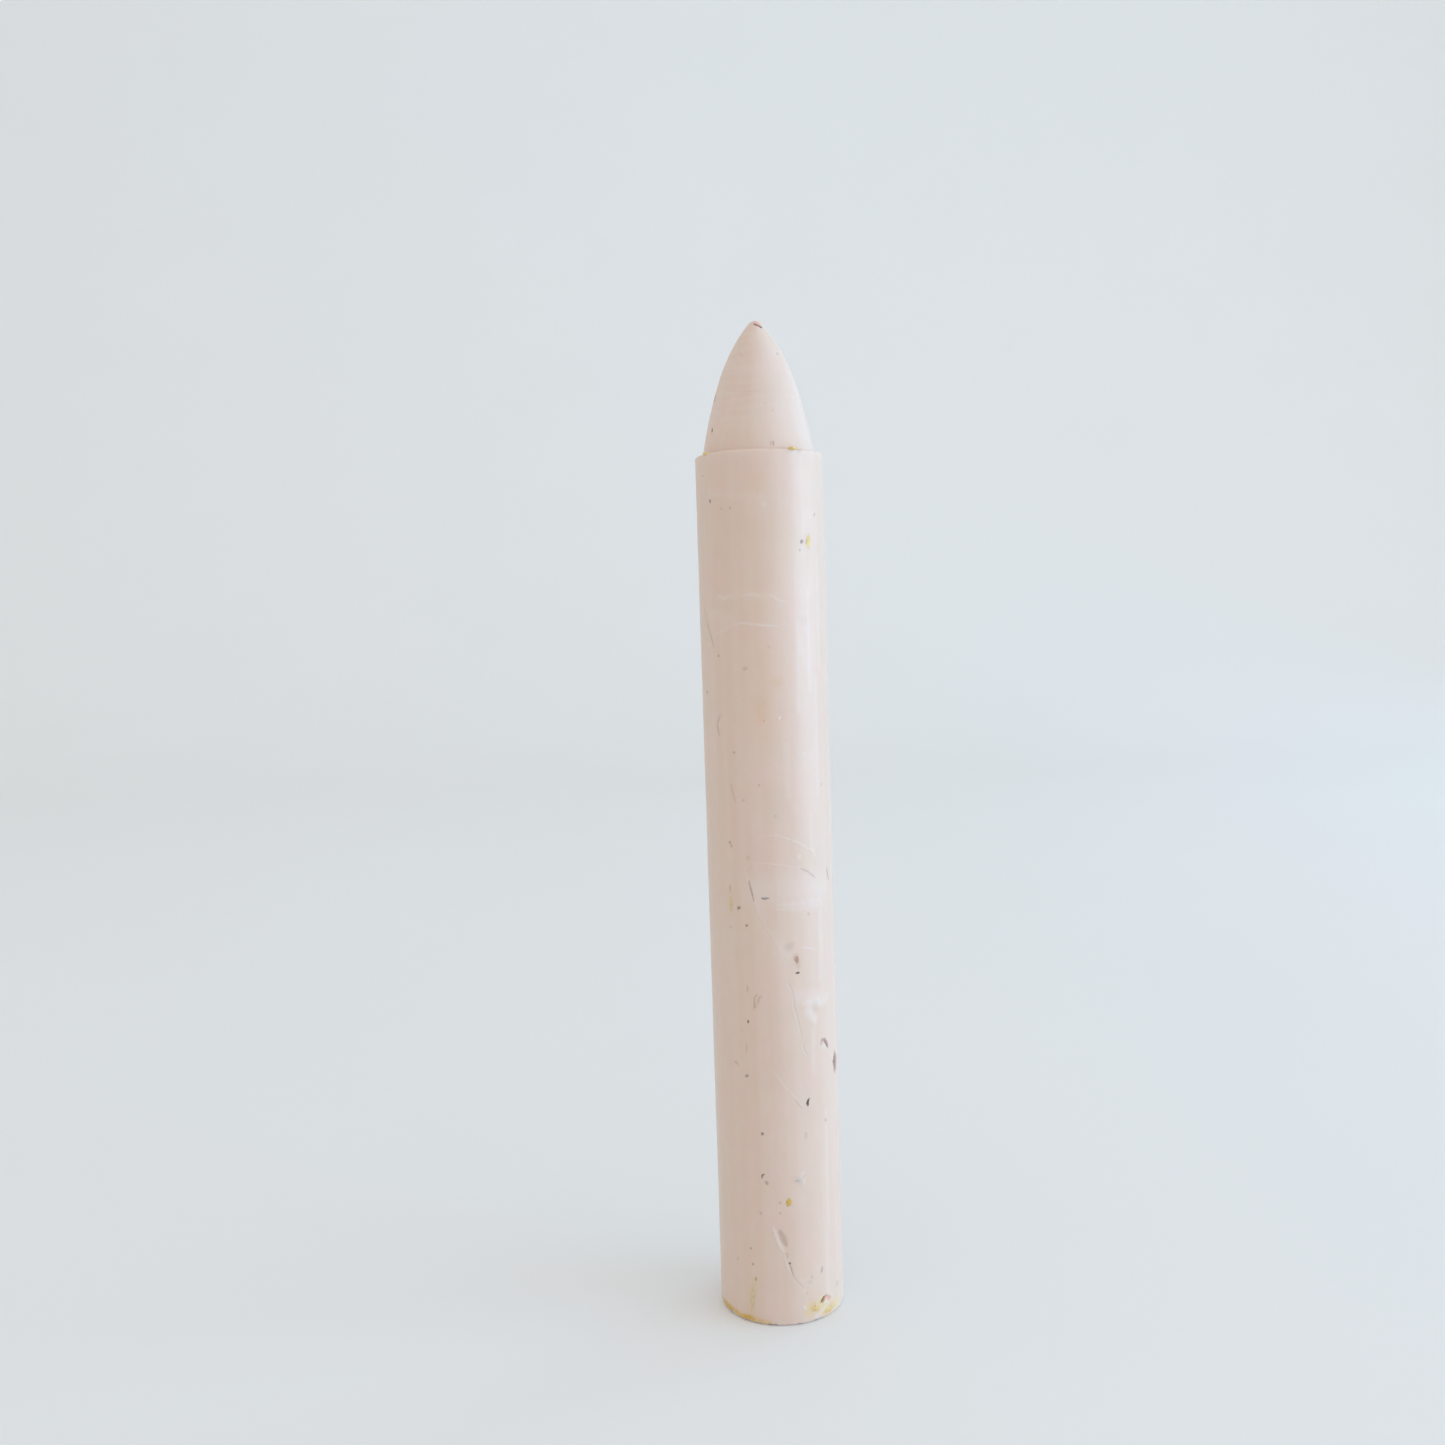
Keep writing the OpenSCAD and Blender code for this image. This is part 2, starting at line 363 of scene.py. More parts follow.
def pits():
    """The larger holes, where lumps of wax have broken out."""
    # By the base: a deep wedge beside a pink hollow
    stain_and_shade([(43.5, 1.95), (47, 1.65)], 0.45, "pink", 0.75, 0.12, 0.4)
    stain_and_shade([(37, 1.6), (40.5, 1.9), (43.5, 2.1)], 0.36, "umber", 0.95, 0.3, 0.35, taper=True)
    film([(41, 1.5), (44.5, 1.6)], 0.16, 0.6, -0.03, 0.6)
    # Crescent and lens on the right: the mauve and umber in them are painted shade on their walls
    stain_and_shade([(44.8, 26.5), (47, 26.85), (50, 26.85), (53, 26.5), (55.5, 25.9)], 0.3, "mauve", 0.42, 0.12,
          0.5, taper=True)
    stain_and_shade([(51, 26.7), (54, 26.3), (55.7, 25.9)], 0.26, "mauve", 0.4, 0.06, 0.5, taper=True)
    film([(49.5, 26.2)], 0.5, 0.3, 0, 0.8)
    stain_and_shade([(70, 25), (70.6, 24.1), (70.4, 23.1)], 1.0, "mauve", 0.55, 0.24, 0.5, 0.4, taper=True)
    stain_and_shade([(73.5, 24.6), (74, 23.5)], 0.35, "umber", 0.4, 0.05, 0.8, taper=True)
    # Small ones round the crumbs of other wax
    stain_and_shade([(29.5, 21.2)], 0.8, "pink", 0.15, 0, 0.8, pale=0.25)
    stain_and_shade([(20.8, 35.4), (21.5, 35), (23, 34.4)], 0.5, "brick", 0.25, 0, 0.9)
    stain_and_shade([(28, 81.8)], 0.5, "shade", 0.35, 0, 0.9)
    stain_and_shade([(38, 81.8)], 0.45, "slate", 0.3, 0, 0.9)


def pale_smears():
    """Places where the wax has been rubbed: chalky lines and films, and burnished ones."""
    chalk([(-46, 68.5), (-41, 68.75), (-36, 68.45), (-31, 68.7), (-26, 68.65)], 0.24, 0.4, ragged=0.6)
    chalk([(-19, 68.7), (-9, 68.85), (-2, 68.6)], 0.24, 0.42, ragged=0.5)
    chalk([(3, 68.8), (9, 68.5), (15, 68.1), (20, 68)], 0.22, 0.36, ragged=0.5)
    film([(-42, 68.6), (-20, 68.8), (10, 68.6)], 0.7, 0.12)
    chalk([(-26, 66), (-21, 66.3), (-8, 66.1), (6, 65.9), (13, 65.8)], 0.22, 0.5, ragged=0.4)
    chalk([(-50, 65.2), (-42, 65.5), (-33, 65.8), (-25, 66.1)], 0.3, 0.25, ragged=0.4)
    film([(-55, 67.2), (-44, 67), (-32, 66.5), (-25, 66.3)], 1.5, 0.16, 0, 0.8, 0.3, taper=True)
    film([(-50, 78.2), (-20, 77.8), (2, 77.6)], 0.6, 0.16, ragged=0.5)
    film([(3, 76.9)], 0.45, 0.3, -0.012, 0.9, 0.6)
    # Burnished patch beside the long crease, with folds of pushed wax at its lower edge
    film([(-10, 41.6), (10, 41.8), (30, 41.5), (50, 41.2)], 2.8, 0.27, 0, 0.8, 0.15, gloss=0.6)
    for height, pale in ((41.2, 0.24), (40.3, 0.36), (39.9, 0.26)):
        chalk([(4, height - 0.1), (25, height), (52, height - 0.3)], 0.55, pale, -0.01, 0.6)
    film([(50, 39.9), (48, 38.6), (47.5, 35.4), (46, 32.6)], 0.45, 0.22, -0.01, ragged=0.3)
    film([(26, 39.7)], 0.5, 0.3, 0, 0.9, 0.4)
    chalk([(24.5, 36.1), (33, 35.9), (42, 35.5)], 0.18, 0.32, -0.013, 0.6)
    film([(7, 36.6), (10, 35.4)], 1.3, 0.2, gloss=0.4)
    # Dent polished by a fingertip: its bright pale lines are partly painted highlight, and the green spot in
    # it is painted shade
    film([(23, 31.5), (33, 31.3), (46, 31.1)], 1.3, 0.28, gloss=0.5)
    film([(30, 30.9), (36, 30.8), (44, 30.7)], 0.8, 0.5, -0.02, ragged=0.4, gloss=0.6)
    film([(26.5, 30.75), (31, 30.8)], 0.34, 0.55, -0.012, gloss=0.5)
    film([(42.5, 30.9), (45, 30.4)], 0.6, 0.6, -0.02, ragged=0.3, gloss=0.6)
    film([(31, 30), (34, 29.5), (38, 29.1)], 0.7, 0.55, -0.02, ragged=0.4, gloss=0.6)
    # Painted shade inside the dent, greenish
    stain_and_shade([(38.5, 30.1)], 0.8, "green", 0.1, 0.04, 0.9, gloss=0.4)
    film([(50, 30.5), (55, 30.9)], 0.7, 0.35, ragged=0.4, gloss=0.5)
    # A short upright white streak that is a painted glint
    film([(40, 48.5), (40, 45.4)], 0.4, 0.2, -0.008)
    # A small raised bump, its whiteness a painted highlight
    film([(11.5, 57.5)], 0.28, 0.8, -0.045, 0.7)
    stain_and_shade([(13.3, 57.4)], 0.16, "shade", 0.3, 0.02, 0.6)
    film([(34, 54)], 0.34, 0.3, -0.02, 0.9)
    film([(17, 55), (17.5, 50.3)], 0.5, 0.14, -0.008)
    # Faint lengthwise streaks on the bright side
    for angle, low, high in ((49.5, 9, 20), (43, 60, 69), (51, 50, 61), (57, 62, 72), (36, 24, 28),
                             (30, 58, 66), (46, 2, 8)):
        film([(angle + 0.5, high), (angle, (low + high) / 2), (angle - 0.5, low)], 0.34, 0.24, -0.007)
    # Step and nose; the two pale lines along the step's front edge are painted highlight
    film([(-34, SHOULDER_H), (-24, SHOULDER_H)], 0.26, 0.7, 0, 0.8)
    film([(-25, SHOULDER_H), (-14, SHOULDER_H)], 0.22, 0.4, 0, 0.9)
    film([(-70, 90.1), (-30, 89.7), (0, 89.5), (40, 89.7)], 0.8, 0.3, -0.01, ragged=0.4)
    film([(8, 92.5), (26, 88), (42, 84)], 4, 0.26, ragged=0.2)
    film([(20, 93.3), (30, 91)], 1.6, 0.4)
    cut([(-40, 87.5), (-10, 87.3), (10, 87.2)], 0.12, 0.1, 0.01, "shade")


def warm_stains():
    stain_and_shade([(-4, 79), (-6, 78.4)], 1.8, "amber", 0.12, ragged=0.6)
    stain_and_shade([(9.5, 60.7)], 0.9, "amber", 0.26, ragged=0.8)
    stain_and_shade([(-4, 58.8), (-5, 57.8)], 1.1, "amber", 0.2, ragged=0.8)
    stain_and_shade([(2, 62.5), (0, 57)], 3, "amber", 0.1, ragged=0.6)
    stain_and_shade([(-5, 68), (-8, 64)], 2.6, "amber", 0.07, ragged=0.6)
    stain_and_shade([(-60, 71), (-55, 70)], 2.4, "pink", 0.1)
    stain_and_shade([(-24.5, 4.3), (-28, 2.8), (-30, 0.7)], 0.8, "straw", 0.5, ragged=0.3)
    stain_and_shade([(-38.8, 41), (-39, 39.4)], 0.55, "straw", 0.45)
    stain_and_shade([(15.5, 14.1), (18.3, 13.9)], 0.6, "green", 0.2, 0, 0.9, 0.5)
    film([(20.5, 14.5), (21, 13.9)], 0.5, 0.4, -0.02, ragged=0.5)


def foot_of_the_barrel():
    """Yellow and dark wax rubbed off along the rim that stands on the table."""
    stain_and_shade([(-84, 0.5), (-60, 0.45), (-40, 0.4), (-14, 0.3)], 0.5, "honey", 0.7, 0, 0.8, 0.7)
    stain_and_shade([(-66, 0.5), (-48, 0.5)], 0.5, "gold", 0.6, 0, 0.9, 0.8)
    stain_and_shade([(-44, 0.4), (-27, 0.35)], 0.4, "gold", 0.6, 0, 0.9, 0.8)
    stain_and_shade([(27, 1.2), (33, 1.35), (46, 0.9), (58, 0.7)], 1.1, "yellow", 0.42, ragged=0.8)
    stain_and_shade([(28.5, 1.5), (33, 1.3)], 0.7, "honey", 0.45, ragged=0.9)
    stain_and_shade([(42, 0.6), (52, 0.75)], 0.6, "honey", 0.5, ragged=0.9)
    film([(33, 0.5), (42, 0.9)], 0.6, 0.5, -0.03, 0.9, 0.6)
    stain_and_shade([(47, 0.7)], 0.4, "brick", 0.4, 0, 0.9, 0.5)
    for angle, size in ((-57, 0.3), (-54, 0.2), (-12, 0.26), (-10, 0.2), (-7, 0.22), (14.5, 0.24),
                        (17, 0.16), (31, 0.24)):
        stain_and_shade([(angle, 0.08)], size, "umber", 0.85, 0, 0.5, 0.4)


def tip_chip():
    """The blunt tip: a small crack under a pinkish lip."""
    crack = [(-0.05, 93.98), (0.32, 93.82), (0.6, 93.66)]
    stain_and_shade(crack, 0.15, "umber", 0.9, 0.12, 0.6, 0.15, where="front")
    stain_and_shade([(0.05, 94.25), (0.5, 94.02)], 0.36, "pink", 0.5, -0.04, 0.8, where="front")
    stain_and_shade([(-0.12, 94.35)], 0.22, "slate", 0.5, 0.03, 0.8, where="front")


def unseen_side(seed=11):
    """The back and the far sides carry the same kinds of marks, at random places."""
    rng = np.random.default_rng(seed)
    colours = ["umber", "umber", "slate", "mauve", "rust", "green"]
    for i in range(46):
        speck(rng.uniform(92, 268), rng.uniform(1, 81), rng.uniform(0.16, 0.28),
              colour=colours[rng.integers(6)], amount=rng.uniform(0.2, 0.8),
              tall=rng.choice([0, 0, 0.15, 0.3]), lean=rng.uniform(-60, 60))
    for i in range(7):
        speck(rng.uniform(80, 275), rng.uniform(83, 92), rng.uniform(0.18, 0.28), rng.uniform(0.3, 0.8))
    for i in range(11):
        angle, height, turn = rng.uniform(100, 250), rng.uniform(6, 76), rng.uniform(-16, 16)
        drop = rng.uniform(0.5, 4)
        line = [(angle, height), (angle + turn * 0.5, height - drop * 0.6), (angle + turn, height - drop)]
        dark = rng.random() < 0.4
        mark(line, rng.uniform(0.18, 0.3), depth=0.05 if dark else -0.02, colour="umber", amount=0.5 * dark,
             pale=0.6 * (not dark), soft=0.6, taper=True)
    for i in range(5):
        angle, height = rng.uniform(105, 250), rng.uniform(8, 76)
        line = [(angle - 12, height), (angle + 12, height - rng.uniform(0, 1.5))]
        film(line, rng.uniform(1, 2.6), rng.uniform(0.2, 0.45), 0, 0.9, 0.3, gloss=rng.uniform(0, 0.6))
    for angle, height, size in ((128, 61.5, 0.5), (205, 33, 0.6), (172, 5.2, 0.45), (236, 48.3, 0.4)):
        line = [(angle - 2, height + 0.3), (angle + 1, height), (angle + 2, height - 0.5)]
        stain_and_shade(line, size, "mauve", 0.5, 0.18, 0.5, 0.7, taper=True)
    for angle, height, size in ((150, 52, 3.5), (224, 14, 3), (190, 71, 2.5), (112, 27, 2.5)):
        stain_and_shade([(angle, height)], size, "amber", 0.18)
    # Underside: stray specks and the marks of sliding about
    for i in range(12):
        spot = rng.uniform(-3.9, 3.9, 2)
        stain_and_shade([spot], rng.uniform(0.2, 0.5), colours[rng.integers(6)], rng.uniform(0.3, 0.8),
              0.04, 0.5, 0.4, where="base")
    for i in range(9):
        start, turn = rng.uniform(-4, 4, 2), rng.uniform(0, math.pi)
        end = start + rng.uniform(1, 3) * np.array([math.cos(turn), math.sin(turn)])
        mark([start, end], rng.uniform(0.15, 0.3), where="base", depth=0.02, pale=0.6,
             soft=0.6, taper=True)
    for x, y, size in ((-3, -3.5, 1.4), (3.4, -3, 1.8), (0.5, 3.6, 1.2)):
        stain_and_shade([(x, y)], size, "ochre", 0.45, 0, 0.8, 0.5, where="base")


for section in (pinholes_and_grains, creases_and_scratches, gouge, pits, pale_smears, warm_stains,
                foot_of_the_barrel, tip_chip, unseen_side):
    section()


# ---- smooth repeatable unevenness
def waves(points, size, seed, count=7):
    """Smooth unevenness from -1 to 1 at an array of points, in any dimension, with features of about size."""
    rng = np.random.default_rng(seed)
    directions = rng.normal(size=(count, points.shape[1]))
    directions /= np.linalg.norm(directions, axis=1)[:, None]
    pitch = 2 * math.pi / (size * rng.uniform(0.7, 1.6, count))
    total = np.zeros(len(points))
    for direction, k, phase in zip(directions, pitch, rng.uniform(0, 2 * math.pi, count)):
        total += np.sin(points @ direction * k + phase)
    return total / math.sqrt(count * 2)


def ease(x):
    """Smooth step from 0 to 1."""
    x = np.clip(x, 0, 1)
    return x * x * (3 - 2 * x)


# ---- the mesh of the stick
def level_wanted(marks):
    """How often each half-size cell of the grid has to be halved: 0, 1 or 2 times."""
    half_rows = np.interp(np.arange(2 * (len(ROWS) - 1)) / 2 + 0.25, np.arange(len(ROWS)), ROWS)
    angles = (np.arange(2 * COLUMNS) + 0.5) * math.pi / COLUMNS
    v, u = np.meshgrid(half_rows, angles, indexing="ij")
    points = places(u.ravel(), v.ravel())
    wanted = np.zeros(u.size, int)
    for m in marks:
        if m.width > FILM_WIDTH and m.depth == 0:
            continue
        level = 2 if m.width < FINE_WIDTH and m.soft <= BLURRED else 1
        near, x, y = chart(m, u.ravel(), v.ravel(), points)
        close = near[to_line(x, y, local_line(m))[0] < m.width / 2 + MARK_MARGIN]
        wanted[close] = np.maximum(wanted[close], level)
    wanted = wanted.reshape(u.shape)
    # Neighbouring cells differ by one halving at most
    finest = wanted == 2
    spread = finest.copy()
    for rows in (-1, 0, 1):
        for columns in (-1, 0, 1):
            spread |= np.roll(finest, (rows, columns), (0, 1))
    return np.where(finest, 2, np.maximum(wanted, spread.astype(int)))


def grid_faces(wanted):
    """Faces over a lattice of COLUMNS x rows cells, each divided as wanted, with no gaps where sizes meet.

    Lattice points count in the finest step. Returns the points (column, row) and the faces.
    """
    rows = len(ROWS) - 1
    divided = (wanted.reshape(rows, 2, COLUMNS, 2).max((1, 3)) > 0, wanted == 2)
    top, around = rows * SPLIT, COLUMNS * SPLIT
    index, points, faces = {}, [], []

    def number(column, row):
        key = (0 if row in (0, top) else column % around, row)
        if key not in index:
            index[key] = len(points)
            points.append(key)
        return index[key]

    def is_split(row, column, level):
        if level == len(divided) or not 0 <= row < len(divided[level]):
            return False
        return bool(divided[level][row, column % divided[level].shape[1]])

    def fill(row, column, level):
        """Adds a cell, or its quarters where it is divided."""
        if is_split(row, column, level):
            for part in ((0, 0), (0, 1), (1, 0), (1, 1)):
                fill(2 * row + part[0], 2 * column + part[1], level + 1)
            return
        step = SPLIT >> level
        x, y, mid = column * step, row * step, step // 2
        ring = [(x, y)] + [(x + mid, y)] * is_split(row - 1, column, level)
        ring += [(x + step, y)] + [(x + step, y + mid)] * is_split(row, column + 1, level)
        ring += [(x + step, y + step)] + [(x + mid, y + step)] * is_split(row + 1, column, level)
        ring += [(x, y + step)] + [(x, y + mid)] * is_split(row, column - 1, level)
        numbers = list(dict.fromkeys(number(*spot) for spot in ring))
        if len(numbers) <= 4:
            faces.append(numbers)
            return
        middle = number(x + mid, y + mid)
        for a, b in zip(numbers, numbers[1:] + numbers[:1]):
            faces.append([middle, a, b])

    for row in range(rows):
        for column in range(COLUMNS):
            fill(row, column, 0)
    return np.array(points), faces


def places(angle, along):
    """Points of the plain stick, in millimetres, at angles in radians and distances along the profile."""
    radius = np.interp(along, ALONG, PROFILE[:, 0])
    height = np.interp(along, ALONG, PROFILE[:, 1])
    return np.column_stack([radius * np.sin(angle), -radius * np.cos(angle), height])


def normals_at(angle, along):
    out = np.interp(along, ALONG, PROFILE[:, 2])
    up = np.interp(along, ALONG, PROFILE[:, 3])
    size = np.hypot(out, up)
    return np.column_stack([out * np.sin(angle), -out * np.cos(angle), up]) / size[:, None]


# ---- marks in flat charts
def side_origin(m):
    """Where a side mark's flat chart is laid on: the angle of its middle, and the radius there."""
    angle = math.radians(sum(p[0] for p in m.points) / len(m.points))
    height = sum(p[1] for p in m.points) / len(m.points)
    return angle, radius_at(height)


def local_line(m):
    """The mark's points in its own flat chart, in millimetres."""
    if m.where != "side":
        return np.array(m.points, float)
    angle, radius = side_origin(m)
    return np.array([((math.radians(a) - angle) * radius, along_at(h)) for a, h in m.points])


def chart(m, angle, along, points):
    """The numbers of the points near a mark, and their places in its flat chart."""
    line = local_line(m)
    if m.where == "side":
        middle, radius = side_origin(m)
        x = ((angle - middle + math.pi) % (2 * math.pi) - math.pi) * radius
        y = along
        near = along > SIDE_START
    elif m.where == "base":
        x, y = points[:, 0], points[:, 1]
        near = along < BARREL_R
    else:
        x, y = points[:, 0], points[:, 2]
        near = points[:, 1] < 0
    reach = m.width * 1.5 + 0.4
    low, high = line.min(0) - reach, line.max(0) + reach
    near = near & (x > low[0]) & (x < high[0]) & (y > low[1]) & (y < high[1])
    return np.flatnonzero(near), x[near], y[near]


def to_line(x, y, line):
    """Distance to a line of points, the share of its length reached there, and the side, 1 to its left."""
    if len(line) == 1:
        return np.hypot(x - line[0, 0], y - line[0, 1]), np.full(len(x), 0.5), np.ones(len(x))
    lengths = np.hypot(*np.diff(line, axis=0).T)
    before = np.concatenate([[0], np.cumsum(lengths)])
    best, share, side = np.full(len(x), np.inf), np.zeros(len(x)), np.ones(len(x))
    for (ax, ay), (bx, by), length, start in zip(line[:-1], line[1:], lengths, before):
        t = np.clip(((x - ax) * (bx - ax) + (y - ay) * (by - ay)) / length ** 2, 0, 1)
        distance = np.hypot(x - ax - t * (bx - ax), y - ay - t * (by - ay))
        closer = distance < best
        best = np.where(closer, distance, best)
        share = np.where(closer, (start + t * length) / before[-1], share)
        cross = (bx - ax) * (y - ay) - (by - ay) * (x - ax)
        side = np.where(closer, np.sign(cross), side)
    return best, share, side


# Marks wider than this also fray in small steps
FRAYED_WIDTH = 0.8


class Wax:
    """The stick's points with what the marks do to them."""

    def __init__(self, angle, along):
        self.angle, self.along = angle, along
        self.points = places(angle, along)
        self.raised, self.pale = general_wear(self.points, angle)
        self.stain_and_shade = np.zeros(len(angle))
        self.stain_and_shade_colour = np.zeros((len(angle), 3)) + COLOURS["umber"]
        self.gloss = np.zeros(len(angle))

    def paint(self, near, colour, amount):
        """Lays a colour over what is already there."""
        kept = self.stain_and_shade[near] * (1 - amount)
        total = np.maximum(amount + kept, 1e-9)
        mixed = (np.outer(amount, colour) + self.stain_and_shade_colour[near] * kept[:, None]) / total[:, None]
        self.stain_and_shade_colour[near] = np.where(total[:, None] > 1e-6, mixed, self.stain_and_shade_colour[near])
        self.stain_and_shade[near] = np.minimum(total, 1)

    def apply(self, m):
        near, x, y = chart(m, self.angle, self.along, self.points)
        distance, share, side = to_line(x, y, local_line(m))
        flat = np.column_stack([x, y])
        distance = distance + m.ragged * m.width * 0.35 * waves(flat, m.width * 1.1, m.seed)
        if m.width > FRAYED_WIDTH:
            distance = distance + m.ragged * 0.25 * waves(flat, 0.5, m.seed + 1000)
        reach = np.full(len(x), m.width / 2)
        if m.taper:
            reach = reach * np.clip(np.sin(math.pi * np.clip(share, 0.02, 0.98)), 0, 1) ** 0.5
        inside = ease((reach * (1 + m.soft) - distance) / np.maximum(2 * m.soft * reach, 1e-6))
        self.raised[near] -= m.depth * inside
        if m.rim:
            ridge = np.exp(-((distance - reach * 1.25) / (0.45 * reach + 0.03)) ** 2)
            if m.side:
                ridge = ridge * (side == m.side)
            self.raised[near] += m.rim * ridge
        if m.colour:
            self.paint(near, COLOURS[m.colour], m.amount * inside)
        self.pale[near] = np.maximum(self.pale[near], m.pale * inside)
        self.gloss[near] = np.maximum(self.gloss[near], m.gloss * inside)


# The casting's unevenness, as the height, size and seed of its waves
SWELLS = ((0.018, 9, 1), (0.008, 2.6, 2), (0.003, 1.1, 3))
BAND_H = 0.007
# Worn edges: height, and how far the wear reaches
WORN_EDGES = ((SHOULDER_H, 0.7), (0.0, 0.5))
CHIP_DEPTH = 0.05
NOSE_RING_PITCH = 0.9
NOSE_RING_H = 0.004


def general_wear(points, angle):
    """The casting's unevenness and worn edges: how far points are raised, and how chalky they are."""
    height = points[:, 2]
    raised = sum(size * waves(points, pitch, seed) for size, pitch, seed in SWELLS)
    # Shallow lengthwise bands that the mould and the hand have left
    ring = np.column_stack([np.sin(angle), -np.cos(angle), height / 60])
    on_barrel = (height > BASE_EDGE_R) & (height < SHOULDER_H - SHOULDER_EDGE_R)
    raised += BAND_H * waves(ring, 0.3, 4) * on_barrel
    pale = np.zeros(len(points))
    for edge, reach in WORN_EDGES:
        outer = np.hypot(points[:, 0], points[:, 1]) > BARREL_R - 0.5
        rim = np.exp(-(((height - edge) / reach) ** 2)) * outer
        chips = np.clip(waves(points, 1.3, 5), 0, 1)
        raised -= CHIP_DEPTH * rim * chips
        pale = np.maximum(pale, 0.3 * rim * (0.4 + 0.6 * chips))
    # Faint rings that turning or the mould left on the nose
    on_nose = ease((height - SHOULDER_H - 1) / 2)
    rings = np.sin(height * 2 * math.pi / NOSE_RING_PITCH + 2 * waves(points, 5, 6))
    raised += NOSE_RING_H * rings * on_nose
    pale = np.maximum(pale, (0.14 + 0.08 * rings + 0.06 * waves(points, 1.6, 7)) * on_nose)
    return raised, pale


def save_attribute(mesh, name, values):
    kind, field = ("FLOAT_VECTOR", "vector") if values.ndim == 2 else ("FLOAT", "value")
    made = mesh.attributes.new(name, kind, "POINT")
    made.data.foreach_set(field, values.astype(np.float32).ravel())


def new_object(name, data):
    made = bpy.data.objects.new(name, data)
    bpy.context.scene.collection.objects.link(made)
    return made


def smooth_mesh(name, points, faces, material):
    """An object with a smooth mesh, points in metres."""
    mesh = bpy.data.meshes.new(name)
    mesh.from_pydata(points, [], faces)
    mesh.polygons.foreach_set("use_smooth", [True] * len(mesh.polygons))
    mesh.materials.append(material)
    mesh.validate()
    mesh.update()
    return new_object(name, mesh)


def new_piece(name, points, faces, material, slot, *nodes):
    """A piece, points in millimetres, that rides on the crayon and stands for its CAD nodes."""
    piece = smooth_mesh(name, (np.asarray(points) * MM).tolist(), faces, material)
    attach(piece, BODY)
    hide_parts(*nodes)
    return piece


# Depth at which a hollow's painted shade is full, and the deepest mark on the base
FULL_HOLLOW_SHADE = 0.15
BASE_DEPTH = 0.3


def make_stick(material):
    lattice, faces = grid_faces(level_wanted(MARKS))
    angle = lattice[:, 0] * 2 * math.pi / (COLUMNS * SPLIT)
    along = np.interp(lattice[:, 1] / SPLIT, np.arange(len(ROWS)), ROWS)
    wax = Wax(angle, along)
    for m in MARKS:
        wax.apply(m)
    moved = wax.points + normals_at(angle, along) * wax.raised[:, None]
    # Nothing reaches below the floor
    moved[:, 2] = np.clip(moved[:, 2], 0, np.where(along < SIDE_START, BASE_DEPTH, np.inf))
    stick = new_piece("crayon_stick", moved, faces, material, "peach_wax", "wax_stick")
    for name in ("stain_and_shade", "stain_and_shade_colour", "pale", "gloss"):
        save_attribute(stick.data, name, getattr(wax, name))
    # Painted shade: how deep each point lies in a hollow, for darkening its colour
    save_attribute(stick.data, "hollow", np.clip(-wax.raised / FULL_HOLLOW_SHADE, 0, 1))


# ---- crumbs and flakes of other wax
FLAKE_RINGS = (0.15, 0.3, 0.45, 0.58, 0.7, 0.8, 0.88, 0.95, 1.02, 1.1, 1.2)
FLAKE_SPOKES = 56
FLAKE_LOBE = 0.34
FLAKE_DIP = 0.12


def flake_points(angle, height, width, tall, lean, bend, thickness, seed):
    """A smeared flake's points, on rings that dip under the wax at the edge, and each one's ring."""
    lobes = np.random.default_rng(seed)
    turn = np.linspace(0, 2 * math.pi, FLAKE_SPOKES, endpoint=False)
    edge = 1 + sum(lobes.uniform(0.3, 1) * FLAKE_LOBE / k * np.cos(k * turn + lobes.uniform(0, 6.28))
                   for k in (2, 3, 5, 8))
    share = np.concatenate([[0.0], np.repeat(FLAKE_RINGS, FLAKE_SPOKES)])
    x = np.concatenate([[0.0]] + [ring * edge * np.cos(turn) for ring in FLAKE_RINGS])
    y = np.concatenate([[0.0]] + [ring * edge * np.sin(turn) for ring in FLAKE_RINGS])
    tilt = math.radians(lean)
    x, y = x * width / 2 + bend * (1 - np.clip(y, -1, 1) ** 2), y * tall / 2
    across, up = x * math.cos(tilt) - y * math.sin(tilt), x * math.sin(tilt) + y * math.cos(tilt)
    lumps = waves(np.column_stack([across, up]), 0.3, seed + 50)
    out = thickness * ((1 - share ** 2) * (1 + 0.3 * lumps) + 0.12 * lumps)
    out = np.where(share > 1.05, -FLAKE_DIP * (share - 0.95), out)
    z = np.maximum(height + up, 0.02)
    turned = math.radians(angle) + across / BARREL_R
    # The flake follows the worn wax and, near the base, the rounded edge
    around = np.column_stack([np.sin(turned), -np.cos(turned)])
    worn = general_wear(np.column_stack([around * BARREL_R, z]), turned)[0]
    drop = BASE_EDGE_R - np.sqrt(np.clip(BASE_EDGE_R ** 2 - np.clip(BASE_EDGE_R - z, 0, None) ** 2, 0, None))
    radius = BARREL_R + worn + out - drop
    return np.column_stack([around * radius[:, None], z]), share + 0.25 * lumps


def flake_faces(first):
    spokes = range(FLAKE_SPOKES)
    faces = [(first, first + 1 + i, first + 1 + (i + 1) % FLAKE_SPOKES) for i in spokes]
    for ring in range(len(FLAKE_RINGS) - 1):
        start = first + 1 + ring * FLAKE_SPOKES
        for i in spokes:
            j = (i + 1) % FLAKE_SPOKES
            faces.append((start + i, start + FLAKE_SPOKES + i, start + FLAKE_SPOKES + j, start + j))
    last = first + 1 + (len(FLAKE_RINGS) - 1) * FLAKE_SPOKES
    return faces + [tuple(last + i for i in reversed(spokes))]


def make_flakes(name, flakes, thickness, material, slot, node, seed):
    """One piece holding several flakes, each (angle, height, width, tall, lean, bend, colour name)."""
    points, faces, tints = [], [], []
    for i, (*shape, colour) in enumerate(flakes):
        faces += flake_faces(sum(len(p) for p in points))
        made, share = flake_points(*shape, thickness, seed + i)
        points.append(made)
        # Thin at the edge, where the wax below shows through
        bare = 0.8 * ease((share - 0.62) / 0.5)[:, None]
        tints.append(np.array(COLOURS[colour]) * (1 - bare) + np.array(WAX_PINK) * bare)
    piece = new_piece(name, np.vstack(points), faces, material, slot, node)
    save_attribute(piece.data, "tint", np.vstack(tints))


